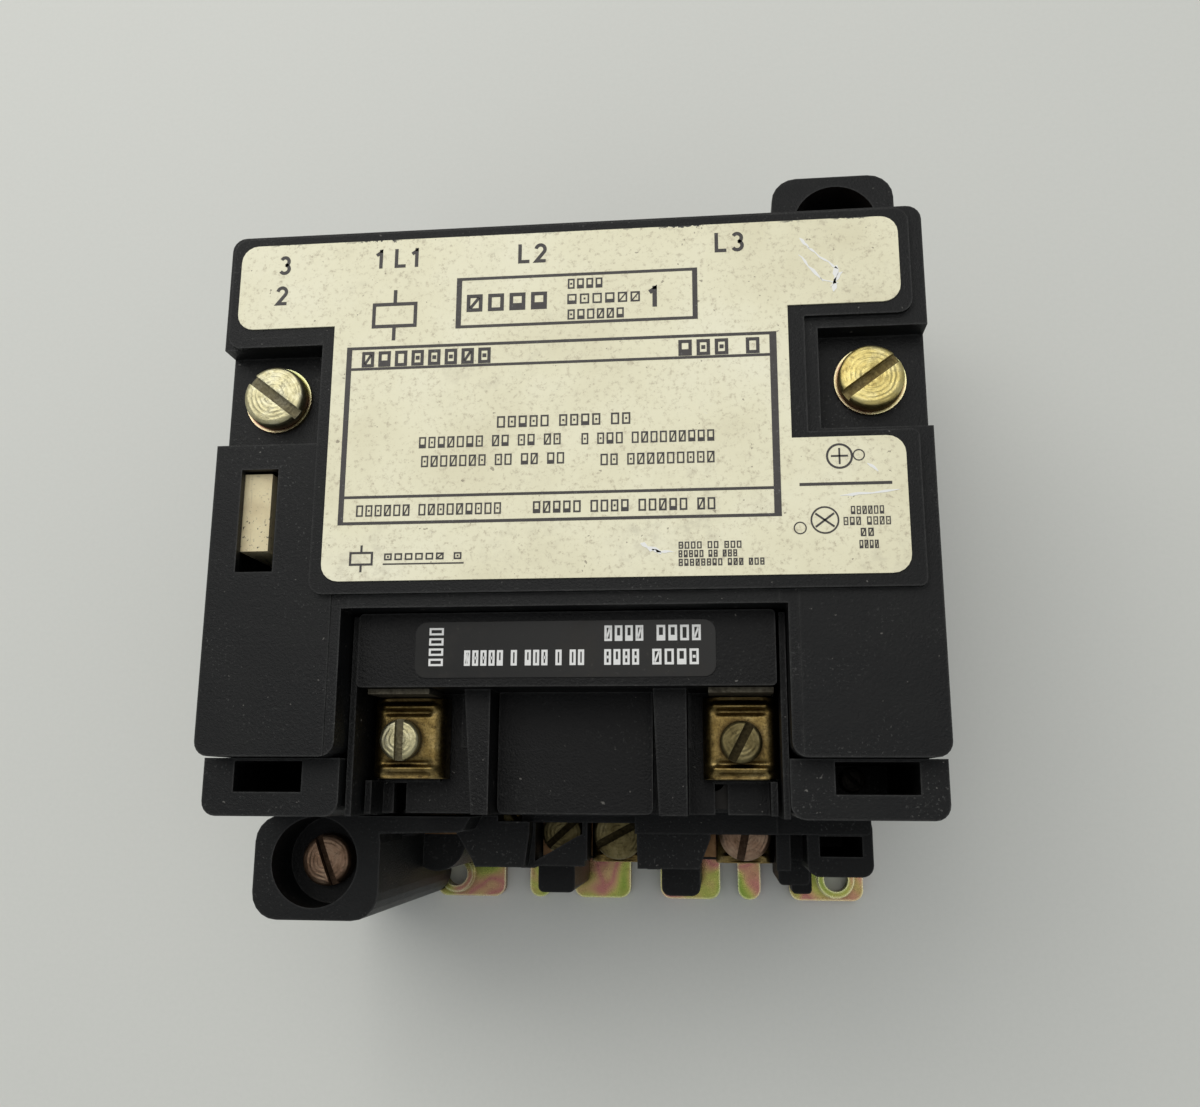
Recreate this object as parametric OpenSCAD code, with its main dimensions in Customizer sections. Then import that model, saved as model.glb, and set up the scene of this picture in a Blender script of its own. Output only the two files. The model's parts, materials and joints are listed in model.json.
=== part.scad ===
// Three-pole magnetic contactor on a steel back plate.
// Origin: centre of the ear-screw pattern on the panel face of the plate.
// +X right and +Y towards the line terminals seen from the front, +Z out of the panel.

/* [Overall] */
// Depth from the panel to the face of the nameplate
total_depth = 77; // [77:0.5:79]
// Width of the front cover
cover_width = 98.6; // [98.2:0.2:98.6]
// Top edge of the front cover above the origin
cover_top = 39.6; // [39.4:0.1:39.7]
// Bottom edge of the cover's legs below the origin
cover_drop = 35.3; // [35:0.1:35.4]

/* [Front cover] */
// Thickness of the cover's walls
cover_wall = 2.6; // [2.4:0.1:2.8]
// Height of the nameplate platform over the legs
platform_rise = 0.8; // [0.4:0.1:1.2]
// Left edge of the opening between the legs
opening_left = -30.1; // [-30.2:0.1:-30]
// Right edge of that opening
opening_right = 29.6; // [29.5:0.1:29.7]
// Depth of the screw notches below the legs' face
notch_depth = 3.5; // [3:0.5:5]

/* [Mounting] */
// Thickness of the steel plate
plate_t = 2; // [1.9:0.1:2.1]
// Ear screw distance from the centre line, along X
ear_x = 40.6; // [40.4:0.1:40.8]
// Ear screw distance from the centre line, along Y
ear_y = 50.3; // [50:0.1:50.6]
// Height of the ear faces above the panel
ear_top = 52; // [51:0.5:53]
// Outer panel hole, distance from the centre along X
panel_x = 41.4; // [41.2:0.1:41.6]
// Outer panel hole, distance from the centre along Y
panel_y = 55.6; // [55.4:0.1:55.8]
// Inner panel hole, distance from the centre along X
inner_x = 30.2; // [30:0.1:30.4]
// Inner panel hole, distance from the centre along Y
inner_y = 55.4; // [55.2:0.1:55.6]
// Radius of the panel holes
panel_r = 2.2; // [2:0.1:2.4]

/* [Poles] */
// Distance between neighbouring poles
pole_pitch = 20; // [20:0.1:20.2]
// Centre of the holding-circuit pole
aux_x = -37.6; // [-37.7:0.1:-37.5]
// Height of the terminal straps above the panel
strap_z = 32; // [31.5:0.1:32]
// Thickness of the straps
strap_t = 1.6; // [1.5:0.1:1.6]
// Radius of the power contact tips
tip_r = 2.8; // [2.6:0.1:3]

/* [Motion] */
// Travel of the armature and the contact carrier
travel = 4; // [3.9:0.1:4]
// Share of that travel by which the bridges are left behind
overtravel_share = 0.3333; // [0.33:0.0001:0.34]
// Gap that is left at the closed contacts and poles
closed_gap = 0.05; // [0.04:0.01:0.1]

/* [Hidden] */
$fn = 48;

// Heights, from the panel outwards
floor_z = 6;
base_top = 40;
housing_z = 40.2;
deck_z = 43.9;
housing_top = 59.9;
cover_z = 60;
leg_z = total_depth - 1;
platform_z = leg_z + platform_rise;
notch_z = leg_z - notch_depth;

half_w = cover_width / 2;
wire_dx = 4.2;
strap_screw_dx = -5.2;
poles = [-pole_pitch, 0, pole_pitch];
corner_steps = 5;

// Contact and magnet planes along Y
foot_y = 5;
tip_face = 8;
gap_open = travel * (1 - overtravel_share) + closed_gap;
bridge_tip_y = tip_face + gap_open;
bridge_tip_h = 1.2;
bridge_y = bridge_tip_y + bridge_tip_h;
bridge_t = 1.4;
contact_z = 16;
core_face = -15;
armature_face = core_face + travel + closed_gap;
armature_back = -2.5;
core_z0 = 45;
core_z1 = 59;

wing_z = [46, 50];
spring_x = 35.8;

// Cover screws and housing screws
cover_screw_at = [[-42, 15.4, -38], [41.8, 15.4, 36]];
housing_screw_at = [[-40.2, -37.85], [40.4, -37.85], [-30.9, 33.4], [30.9, 33.4]];
coil_screw_at = [[-24.1, -32.7, 90], [23.4, -33, 62]];
coil_clamp_x = [-23.2, 23.4];
coil_clamp_y = -32.4;

// ---------- shared shapes ----------

function corner(cx, cy, r, start) =
    [for (i = [0:corner_steps]) [cx + r * cos(start + 90 * i / corner_steps),
                                 cy + r * sin(start + 90 * i / corner_steps)]];

function outline(x0, x1, y0, y1, r) =
    concat(corner(x1 - r, y1 - r, r, 0), corner(x0 + r, y1 - r, r, 90),
           corner(x0 + r, y0 + r, r, 180), corner(x1 - r, y0 + r, r, 270));

// A block between two X, two Y and two Z values
module block(x, y, z) {
    translate([x[0], y[0], z[0]]) cube([x[1] - x[0], y[1] - y[0], z[1] - z[0]]);
}

// The same with its four upright edges rounded
module slab(x, y, z, r) {
    translate([0, 0, z[0]]) linear_extrude(z[1] - z[0]) polygon(outline(x[0], x[1], y[0], y[1], r));
}

// An upright prism over a given outline
module prism(points, z) {
    translate([0, 0, z[0]]) linear_extrude(z[1] - z[0]) polygon(points);
}

// An upright cylinder
module post(x, y, z, r) {
    translate([x, y, z[0]]) cylinder(h = z[1] - z[0], r = r);
}

// A cylinder along Y
module rod_y(x, y, z, r) {
    translate([x, y[0], z]) rotate([-90, 0, 0]) cylinder(h = y[1] - y[0], r = r);
}

// The part again, turned half a turn about Z
module half_turn() {
    rotate([0, 0, 180]) children();
}

// A fillister head with a rounded shoulder, slotted, and its plain shank; z = 0 is under the head
module slotted_screw(head_r, head_h, slot_w, slot_depth, slot_turn, shank_r, shank_len) {
    shoulder = head_h * 0.3;
    rise = head_h * 0.12;
    profile = concat([[0, 0], [head_r, 0]],
                     [for (i = [0:4]) [head_r - shoulder + shoulder * cos(22.5 * i),
                                       head_h - shoulder - rise + shoulder * sin(22.5 * i)]],
                     [[head_r * 0.5, head_h - rise * 0.3], [0, head_h]]);
    difference() {
        union() {
            rotate_extrude() polygon(profile);
            translate([0, 0, -shank_len]) cylinder(h = shank_len + 0.1, r = shank_r);
        }
        rotate([0, 0, slot_turn])
            translate([-head_r - 1, -slot_w / 2, head_h - slot_depth]) cube([2 * head_r + 2, slot_w, head_h]);
    }
}

// Open coil spring along Z, swept as one closed tube
module coil_spring(mean_r, wire_r, length, turns, sides = 5, steps = 10) {
    n = turns * steps;
    rise = (length - 2 * wire_r) / n;
    points = [for (i = [0:n]) for (k = [0:sides - 1])
        let (a = 360 * i / steps, b = 360 * k / sides, r = mean_r + wire_r * cos(b))
        [r * cos(a), r * sin(a), wire_r + rise * i + wire_r * sin(b)]];
    walls = [for (i = [0:n - 1]) for (k = [0:sides - 1])
        let (here = i * sides, there = (i + 1) * sides, next = (k + 1) % sides)
        each [[here + k, there + next, there + k], [here + k, here + next, there + next]]];
    first = [[for (k = [sides - 1:-1:0]) k]];
    last = [[for (k = [0:sides - 1]) n * sides + k]];
    polyhedron(points, concat(walls, first, last), convexity = 6);
}

// Saddle clamp: a small plate with two raised ribs and turned-down ends, room for its screw
module saddle_clamp(width, depth, t, hole_r, head_r, rib = 0.7, hole = [0, 0], drop = 0) {
    difference() {
        union() {
            block([-width / 2, width / 2], [-depth / 2, depth / 2], [1.2, 1.2 + t]);
            for (side = [-1, 1]) {
                block([side * width / 2 - (side > 0 ? t : 0), side * width / 2 + (side > 0 ? 0 : t)],
                      [-depth / 2, depth / 2], [-drop, 1.2 + t]);
                block([-width / 2 + 0.8, width / 2 - 0.8],
                      [side * (depth / 2 - 1.3) - 0.5, side * (depth / 2 - 1.3) + 0.5],
                      [1.2, 1.2 + t + rib]);
            }
        }
        post(hole[0], hole[1], [-1, 5], hole_r);
        post(hole[0], hole[1], [1.2 + t, 5], head_r + 0.15);
    }
}

// ---------- plate and base ----------

tab_ends = 59.5;
tabs = [[-47, -36.2, 57.6], [-34, -20.8, tab_ends], [-16, -11.9, tab_ends], [-7.4, 3.3, tab_ends],
        [8.9, 20.1, tab_ends], [23.4, 27.6, tab_ends], [32.9, 46.4, tab_ends]];
collar_h = 1.3;

module mounting_plate() color("goldenrod") difference() {
    union() {
        slab([-46, 46], [-51, 51], [0, plate_t], 2);
        for (turn = [0, 180]) rotate([0, 0, turn]) {
            for (tab = tabs) slab([tab[0], tab[1]], [-tab[2], -44], [0, plate_t], 2);
            post(panel_x, -panel_y, [0, plate_t + collar_h], panel_r + 1.1);
            post(-inner_x, -inner_y, [0, plate_t + collar_h], panel_r + 1.1);
        }
    }
    for (turn = [0, 180]) rotate([0, 0, turn]) {
        post(panel_x, -panel_y, [-1, 9], panel_r);
        post(-inner_x, -inner_y, [-1, 9], panel_r);
        post(-ear_x, -ear_y, [-1, 9], 2.2);
    }
}

ear_bore_r = 6.65;
ear_seat_z = 44;

module ear() {
    slab([-50, -30.5], [-58.7, -43.4], [plate_t, ear_top], 4);
}

module ear_holes() {
    post(-ear_x, -ear_y, [ear_seat_z, ear_top + 1], ear_bore_r);
    post(-ear_x, -ear_y, [0, ear_top], 2.6);
}

base_left = -46;
base_right = 43.4;
web_y = -43.5;

// Open space between the lower ear and the left pole
module ear_recess() {
    block([-30.5, -20.6], [-52, -46.8], [floor_z, base_top + 1]);
}

// The left load strap stops at that space and has no screw of its own there
function load_holes(pole) = pole < 0 ? [wire_dx] : [strap_screw_dx, wire_dx];

// Terminal end of the base: ledge under the straps and walls between the poles
module terminal_end(side) {
    y = side < 0 ? [-50.5, -36] : [36, 50.5];
    y_wall = side < 0 ? [-51.6, -36] : [36, 51.6];
    difference() {
        union() {
            block([base_left, base_right], y, [plate_t, strap_z - 0.1]);
            for (wall = [-30, -10, 10, 30]) block([wall - 1.1, wall + 1.1], y_wall, [plate_t, base_top]);
        }
        if (side < 0) ear_recess();
    }
}

module base_housing() color("#232325") difference() {
    union() {
        block([base_left, base_right], [-50.4, 50.4], [plate_t, floor_z]);
        block([base_left, base_left + 3], [-43, 43], [plate_t, base_top]);
        block([base_right - 3, base_right], [-43, 43], [plate_t, base_top]);
        terminal_end(-1);
        terminal_end(1);
        ear();
        half_turn() ear();
        // posts that come down to the plate between the lower terminals
        slab([-10.9, -4.6], [-56.7, -48], [plate_t, 24], 1);
        slab([10.3, 16.8], [-57, -48], [plate_t, 24], 1.4);
        slab([29.9, 35.1], [-55, -48], [plate_t, 24], 0.8);
        slab([33, 36.6], [-57.8, -48], [plate_t, 8], 0.8);
        // round post beside the lower ear
        post(-28, -48.4, [plate_t, 27], 4.8);
        // hollow corner block on the lower right, holding-circuit block on the upper left
        slab([33.5, base_right], [-52.3, -43.3], [plate_t, 42], 1.8);
        slab([-46, -31.2], [36, 52], [plate_t, 20], 1);
        block([-46, -31.2], [36, 45.6], [plate_t, strap_z - 0.1]);
        // pads and bosses that carry the contact housing
        block([base_left, -32.8], [-43.2, -36], [plate_t, base_top]);
        block([32.8, base_right], [-43.2, -36], [plate_t, base_top]);
        for (side = [-1, 1]) post(side * 30.9, 33.4, [plate_t, base_top], 2.4);
        // web from the lower ear along the contact housing, and the block at its end over the left pole
        prism([[-36, -46.2], [-18.8, -45.8], [-17.9, -45.5], [-16.8, web_y], [-36, web_y]], [base_top, ear_top]);
        prism([[-20.9, web_y], [-20.9, -46.2], [-18.4, -50], [-17.8, -51.3], [-10, -51.3], [-9.3, -46.1],
               [-9.3, -44.4], [-14.3, -44.4], [-14.3, web_y]], [base_top - 1.4, 43.5]);
        // rib between the two screws of the middle load strap, with the web that leans against it
        block([-1.4, -0.6], [-50.4, -44], [strap_z + strap_t + 0.1, base_top]);
        prism([[-10.2, -51.3], [-1, -51.3], [-1, -46.2], [-2.2, -46.7]], [36.4, base_top]);
        block([-11, -9], [-51.4, -46], [strap_z + strap_t + 0.1, base_top]);
        block([-9.6, 9.6], [-44.6, -43.4], [38.6, base_top]);
        block([-11, -9], [-46, -36], [36, base_top]);
        block([9, 11], [-46, -36], [36, base_top]);
    }
    // hole of the corner block
    block([35.4, 41.8], [-49.3, -46.3], [12, 43]);
    // clearance holes of the plate's extruded collars
    for (turn = [0, 180]) rotate([0, 0, turn]) {
        post(panel_x, -panel_y, [plate_t - 1, floor_z], panel_r + 1.4);
        post(-inner_x, -inner_y, [plate_t - 1, floor_z], panel_r + 1.4);
        ear_holes();
    }
    // threaded holes of the housing screws
    for (at = housing_screw_at) post(at[0], at[1], [28, 45], 1.25);
    // threaded holes of the strap and clamp screws
    for (pole = poles) {
        for (dx = load_holes(pole)) post(pole + dx, -46.3, [23, 35], 1.75);
        post(pole, 44.6, [23, 35], 1.75);
    }
    post(aux_x, 43, [24, 35], 1.3);
    post(aux_x, 49, [12, 22], 1.3);
    // step down to the outer holding-circuit terminal, and the channels of its strap
    block([-47, -31.15], [45.7, 53], [20.05, 50]);
    block([aux_x - 5, aux_x - 0.4], [35, 48.2], [floor_z, 7.9]);
    block([aux_x - 5, aux_x - 0.4], [45.5, 48.2], [floor_z, 20.1]);
}

module mounting_screws() color("darkkhaki") for (turn = [0, 180]) rotate([0, 0, turn])
    translate([-ear_x, -ear_y, ear_seat_z])
        slotted_screw(4, 3.2, 1.2, 1.4, -68, 2.15, ear_seat_z - 0.5);

// ---------- contact housing ----------

module housing_floor() {
    difference() {
        block([-46.7, 46.7], [-42.9, 38.9], [housing_z, deck_z]);
        // window for the coil bobbin
        block([-17.2, 17.2], [-34.2, -14.2], [housing_z - 1, deck_z + 1]);
        // opening in which the carrier moves
        block([-27.6, 27.6], [-14.3, 29.4], [housing_z - 1, deck_z + 1]);
    }
}

module foot(side) {
    x_in = side < 0 ? -30.3 : 29.4;
    x_out = side * 49.3;
    lo = min(x_in, x_out);
    hi = max(x_in, x_out);
    hole = side < 0 ? [-45, -35.5] : [35.1, 45.7];
    difference() {
        union() {
            slab([lo, hi], [-43.1, -36], [housing_z, 72.5], 2);
            block([lo, hi], [-41, -35.4], [housing_z, 72.5]);
        }
        block(hole, [-39.9, -35.8], [deck_z, 80]);
    }
    // thin rim that follows the inner edge of the cover's leg
    rim = side < 0 ? [-29.95, -29.1] : [28.6, 29.45];
    block(rim, [-43.05, -16], [deck_z - 1, 70.5]);
}

module contact_housing() color("#262628") difference() {
    union() {
        difference() {
            slab([-49.2, 49.2], [-43.1, 39], [housing_z, housing_top], 1.2);
            block([-46.6, 46.6], [-40.5, 36.2], [housing_z - 1, housing_top + 1]);
            block([-28.8, 28.8], [-44, -39], [deck_z, housing_top + 1]);
        }
        housing_floor();
        foot(-1);
        foot(1);
        // wall that holds the magnet from below, with the block that reaches over the right pole
        block([-28.9, 28.9], [-43.3, -42.6], [housing_z, 46]);
        block([7.4, 28.9], [-46, -42.6], [housing_z, 46]);
        slab([28, 42.9], [-46, -42], [housing_z + 1.9, 45], 0.8);
        prism([[7.4, -42.6], [7.6, -51.3], [17, -51.3], [18.8, -46.8], [18.8, -42.6]], [housing_z, 43.5]);
        // bosses of the cover screws
        for (at = cover_screw_at) post(at[0], at[1], [housing_z, notch_z - cover_wall - 0.5], 3.5);
        // rails under the carrier's wings, and the seats of the return springs
        for (side = [-1, 1]) {
            block([side * 37 - 9, side * 37 + 9], [-14, 12], [housing_z, 45.9]);
            block([side * 37 - 6, side * 37 + 6], [-18, -14.2], [deck_z, 56]);
        }
    }
    for (at = cover_screw_at) post(at[0], at[1], [46, 80], 2.2);
    for (at = housing_screw_at) post(at[0], at[1], [housing_z - 1, deck_z + 1], 1.3);
    // grooves of the return springs
    for (side = [-1, 1]) rod_y(side * spring_x, [-14.2, 13], 48, 3.8);
}

module housing_screws() color("silver") for (at = housing_screw_at)
    translate([at[0], at[1], deck_z]) slotted_screw(1.95, 1.7, 0.7, 0.8, 20, 1.2, 14);

// ---------- front cover ----------

opening_top = -15.6;

module cover_outline(inset, z) {
    w = half_w - inset;
    r = max(0.4, 2 - inset);
    slab([-w, w], [opening_top + inset, cover_top - inset], z, r);
    slab([-w, opening_left - inset], [-cover_drop + inset, 0], z, r);
    slab([opening_right + inset, w], [-cover_drop + inset, 0], z, r);
}

notch_inner = 34.7;
notch_y = [7.8, 22.1];

module notch_pocket(side) {
    x = side < 0 ? [-half_w - 2, -notch_inner] : [notch_inner, half_w + 2];
    block(x, notch_y, [notch_z, platform_z + 2]);
}

module notch_walls(side) {
    x = side < 0 ? [-half_w + 0.4, -notch_inner + cover_wall] : [notch_inner - cover_wall, half_w - 0.4];
    block(x, [notch_y[0] - cover_wall, notch_y[1] + cover_wall], [notch_z - cover_wall, leg_z - 0.5]);
}

window_x = [-45.4, -40.1];
window_y = [-10.4, 4.2];
tab_x = [-45.6, -41.5];
tab_z = leg_z - 1.4;
edge_strip = 1.4;

module front_cover() color("#1f1f21") difference() {
    union() {
        difference() {
            union() {
                cover_outline(0, [cover_z, leg_z]);
                // platform that carries the nameplate
                slab([-48.6, 0], [notch_y[1], cover_top - 0.6], [leg_z - 1, platform_z], 2);
                slab([-2, 47.4], [notch_y[1] + 1.5, cover_top - 0.6], [leg_z - 1, platform_z], 2);
                slab([-34.5, 32.9], [-13.8, cover_top - 0.6], [leg_z - 1, platform_z], 2);
                slab([20, 47.3], [-13.8, 7.2], [leg_z - 1, platform_z], 1);
            }
            cover_outline(cover_wall, [cover_z - 1, leg_z - cover_wall]);
        }
        notch_walls(-1);
        notch_walls(1);
        // ribs that keep the carrier's wings on their rails
        for (side = [-1, 1]) block([side * 29.8 - 0.8, side * 29.8 + 0.8], [-8, 20], [50.15, leg_z - 1]);
    }
    notch_pocket(-1);
    notch_pocket(1);
    block(window_x, window_y, [leg_z - cover_wall - 1, platform_z + 1]);
    // thinner wall round the window, where the indicator tab slides
    block([-46.7, -39.4], [-12.4, 4.5], [leg_z - cover_wall - 1, leg_z - 1.2]);
    // shallow strip along the edges of the opening
    block([opening_left - edge_strip, opening_left + 1], [-cover_drop - 1, -13.8], [leg_z - 0.15, leg_z + 1]);
    block([opening_right - 1, opening_right + edge_strip], [-cover_drop - 1, -13.8], [leg_z - 0.15, leg_z + 1]);
    for (at = cover_screw_at) post(at[0], at[1], [cover_z, leg_z], 2.4);
}

module nameplate() color("#d9d6c8") {
    slab([-47.3, 0], [24.8, 37.7], [platform_z, total_depth], 2.4);
    slab([-30, 45.9], [25.2, 37.7], [platform_z, total_depth], 2.4);
    slab([-32.8, 30.7], [-12.1, 34], [platform_z, total_depth], 2.4);
    slab([20, 45.4], [-12.1, 6.3], [platform_z, total_depth], 2.4);
}

washer_t = 0.6;

module cover_washers() color("gold") for (at = cover_screw_at)
    translate([at[0], at[1], notch_z]) difference() {
        cylinder(h = washer_t, r = 4.85);
        translate([0, 0, -1]) cylinder(h = 3, r = 2.4);
    }

module cover_screws() color("khaki") for (at = cover_screw_at)
    translate([at[0], at[1], notch_z + washer_t])
        slotted_screw(4.45, 2.3, 1.15, 1.2, at[2], 2.1, notch_z + washer_t - 47);

// ---------- coil and magnet ----------

coil_left = -28.7;
coil_right = 28.1;
band_z = 72;
clamp_seat_z = 61.6;
flange_top = 60.4;
block_front_z = 62.6;
coil_bottom = -42.8;
strip_t = 0.8;

module coil() color("#1b1b1c") difference() {
    union() {
        block([-16.4, 16.4], [-33.6, -16.2], [36.2, 61]);
        block([coil_left, coil_right], [coil_bottom, -15.8], [60, flange_top]);
        block([coil_left, coil_right], [coil_bottom, -18], [core_z1 + 0.2, flange_top]);
        slab([coil_left, coil_right], [-25.9, -15.8], [60, band_z], 0.6);
        slab([-10.7, 11.2], [coil_bottom, -20], [60, block_front_z], 1);
        // ribs between the centre block and the terminal pockets
        prism([[-15, -20], [-13.2, coil_bottom], [-10.9, coil_bottom], [-10.9, -20]], [60, 68]);
        prism([[11.3, -20], [12.3, coil_bottom], [16.1, coil_bottom], [16.1, -20]], [60, 68]);
        // seats of the clamps, and the walls outside them
        for (x = coil_clamp_x) block([x - 4, x + 4], [-38.4, -25], [60, clamp_seat_z]);
        block([coil_left, coil_left + 0.9], [coil_bottom, -38.3], [60, 66]);
        block([coil_right - 0.9, coil_right], [coil_bottom, -38.3], [60, 66]);
    }
    // slots below the clamps
    for (x = [-25.3, 20.6]) block([x - 0.9, x + 0.9], [coil_bottom - 1, -38.6], [core_z1, clamp_seat_z]);
    // bore for the middle leg of the core
    block([-7.3, 7.3], [-40, -10], [core_z0 - 0.3, core_z1 + 0.3]);
    for (at = coil_screw_at) post(at[0], at[1], [60.2, 70], 1.45);
}

module coil_label() color("#101010")
    slab([-20.6, 20.2], [-24.7, -17.1], [band_z, band_z + 0.15], 1.6);

// Angle strips: flat under the clamp, then up the lower face of the band
module coil_strips() color("darkgray") for (i = [0, 1]) difference() {
    at = coil_screw_at[i];
    union() {
        block([at[0] - 3.1, at[0] + 3.1], [-37.6, -26], [clamp_seat_z, clamp_seat_z + strip_t]);
        block([coil_clamp_x[i] - 4.3, coil_clamp_x[i] + 4.3], [-26.7, -26], [clamp_seat_z, band_z - 1.5]);
    }
    post(at[0], at[1], [60, 70], 1.5);
}

module coil_clamps() color("goldenrod") for (i = [0, 1])
    translate([coil_clamp_x[i], coil_clamp_y, clamp_seat_z + strip_t])
        saddle_clamp(10.4, 11.3, 1.1, 1.55, 2.9, 0.8,
                     [coil_screw_at[i][0] - coil_clamp_x[i], coil_screw_at[i][1] - coil_clamp_y], 1.7);

module coil_screws() color("khaki") for (at = coil_screw_at)
    translate([at[0], at[1], clamp_seat_z + strip_t + 2.3]) slotted_screw(2.9, 1.9, 1, 1, at[2], 1.4, 4.4);

module magnet_core() color("#7d7f83") difference() {
    block([-24, 24], [-42, core_face], [core_z0, core_z1]);
    for (side = [-1, 1]) block([side * 12 - 5, side * 12 + 5], [-34, core_face + 1], [core_z0 - 1, core_z1 + 1]);
    // grooves of the shading rings in the outer pole faces
    for (side = [-1, 1]) for (x = [18.2, 22])
        block([side * x - 0.6, side * x + 0.6], [core_face - 2.2, core_face + 1], [core_z0 - 1, core_z1 + 1]);
    for (side = [-1, 1]) post(side * 19.5, -38, [core_z0 - 1, core_z1 + 1], 1.6);
}

module shading_rings() color("peru") for (side = [-1, 1]) difference() {
    block([side * 20.1 - 2.4, side * 20.1 + 2.4], [core_face - 2.1, core_face - 0.7],
          [core_z0 - 0.8, core_z1 + 0.8]);
    block([side * 20.1 - 1.4, side * 20.1 + 1.4], [core_face - 3, core_face + 1],
          [core_z0 - 0.05, core_z1 + 0.05]);
}

module magnet_pads() color("dimgray") for (side = [-1, 1])
    block([side * 19 - 4, side * 19 + 4], [-42.55, -42.05], [46.4, 57]);

module armature() color("#8a8c90") difference() {
    block([-24, 24], [armature_face, armature_back], [core_z0, core_z1]);
    post(0, -6.2, [core_z0 - 1, core_z1 + 1], 1.55);
}

module armature_pin() color("lightgray") post(0, -6.2, [41.6, 62.2], 1.5);

// ---------- contact carrier ----------

module contact_carrier() color("#e8dcc0") difference() {
    union() {
        // plate in front of the contacts, web to the magnet, and the armature's clip
        block([-31.4, 31.4], [8.2, 28.6], [25, 29]);
        block([-26.4, 26.4], [3, 9.6], [25, 59]);
        block([-26.4, 26.4], [-2.4, 3.4], [41.2, 62.4]);
        block([-5, 5], [-8.4, -2], [41.2, core_z0 - 0.1]);
        block([-5, 5], [-8.4, -2], [core_z1 + 0.1, 62.4]);
        for (side = [-1, 1]) block([side * 25.3 - 1.1, side * 25.3 + 1.1], [-8, -2], [46, 58]);
        // wings on the rails and the arm of the indicator tab
        block([tab_x[0], 40.6], [0, 8], wing_z);
        block(tab_x, [-7.2, 3.9], [46, tab_z]);
        // one cell for each bridge: lower ledge, spring seat and side fins
        for (pole = poles) {
            block([pole - 1.5, pole + 1.5], [9.8, bridge_y], [11, 26]);
            block([pole - 6, pole + 6], [24, 26.6], [10, 26]);
            post_seat(pole);
        }
        for (fin = [-30.6, -10, 10, 30.6]) block([fin - 0.7, fin + 0.7], [8.4, 28.4], [10, 26]);
        // smaller cell of the holding circuit
        block([-43, -30], [8.2, 28.6], [25, 29]);
        block([aux_x - 1, aux_x + 1], [9.8, bridge_y], [12, 26]);
        block([aux_x - 4, aux_x + 4], [22, 24.4], [11, 26]);
    }
    post(0, -6.2, [40, 64], 1.55);
}

// Short stud that centres a contact spring
module post_seat(x) {
    rod_y(x, [22.6, 24.1], contact_z, 1.4);
}

spring_len = 24 - (bridge_y + bridge_t + 0.9);

module contact_springs() color("lightsteelblue") for (pole = poles)
    translate([pole, 24, contact_z]) rotate([90, 0, 0]) coil_spring(2.2, 0.35, spring_len, 4.5);

module spring_caps() color("silver") for (pole = poles)
    block([pole - 3.4, pole + 3.4], [bridge_y + bridge_t, bridge_y + bridge_t + 0.9], [12.8, 19.2]);

module contact_bridges() color("#b87333") for (pole = poles)
    block([pole - 8, pole + 8], [bridge_y, bridge_y + bridge_t], [12.6, 19.4]);

module bridge_tips() color("white") for (pole = poles) for (dx = [-5, 5])
    rod_y(pole + dx, [bridge_tip_y, bridge_y], contact_z, tip_r);

module aux_bridge() color("#c08040") {
    block([aux_x - 5, aux_x + 5], [bridge_y, bridge_y + 1], [13.6, 18.4]);
    for (dx = [-3, 3]) rod_y(aux_x + dx, [bridge_tip_y, bridge_y + 0.3], contact_z, 1.5);
}

module aux_spring() color("lightsteelblue")
    translate([aux_x, 22, contact_z]) rotate([90, 0, 0])
        coil_spring(1.7, 0.3, 22 - (bridge_y + 1), 4.5);

module return_springs() color("lightsteelblue") for (side = [-1, 1])
    translate([side * spring_x, 0, 48]) rotate([90, 0, 0]) coil_spring(2.9, 0.45, 14.1, 5.5);

// ---------- fixed contacts and terminals ----------

// Strap from the terminal ledge down to the floor and in to the contact foot
module strap(x_run, x_flat, y_end, y_leg) {
    block(x_flat, [y_leg, y_end], [strap_z, strap_z + strap_t]);
    block(x_run, [y_leg, y_leg + strap_t], [floor_z + 0.1, strap_z + strap_t]);
    block(x_run, [foot_y, y_leg + strap_t], [floor_z + 0.1, floor_z + 0.1 + strap_t]);
    block(x_run, [foot_y, foot_y + strap_t], [floor_z + 0.1, contact_z + 3.4]);
}

module line_contacts() color("#b8783c") for (pole = poles) difference() {
    strap([pole - 8.2, pole - 1.8], [pole - 7, pole + 7], 50, 34.2);
    post(pole, 44.6, [30, 36], 1.75);
}

// The load strap comes from the other side, so its run ends below the foot
module load_contacts() color("#b8783c") for (pole = poles) difference() {
    union() {
        block([pole - 8.6, pole + 8.6], [-50, -34.2], [strap_z, strap_z + strap_t]);
        block([pole + 1.8, pole + 8.2], [-35.8, -34.2], [floor_z + 0.1, strap_z + strap_t]);
        block([pole + 1.8, pole + 8.2], [-35.8, foot_y + strap_t], [floor_z + 0.1, floor_z + 0.1 + strap_t]);
        block([pole + 1.8, pole + 8.2], [foot_y, foot_y + strap_t], [floor_z + 0.1, contact_z + 3.4]);
    }
    for (dx = load_holes(pole)) post(pole + dx, -46.3, [30, 36], 1.75);
    ear_recess();
}

module fixed_tips() color("white") {
    for (pole = poles) for (dx = [-5, 5])
        rod_y(pole + dx, [foot_y + strap_t, tip_face], contact_z, tip_r);
    for (dx = [-3, 3]) rod_y(aux_x + dx, [foot_y + 1.2, tip_face], contact_z, 1.5);
}

clamp_z = strap_z + strap_t;

module line_clamps() color("goldenrod") for (pole = poles)
    translate([pole, 44.6, clamp_z]) saddle_clamp(12.5, 10, 1.1, 1.8, 4.4);

module line_screws() color("khaki") for (pole = poles)
    translate([pole, 44.6, clamp_z + 2.3]) slotted_screw(4.4, 2.6, 1.2, 1.2, 35 + pole, 1.7, 12);

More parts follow.
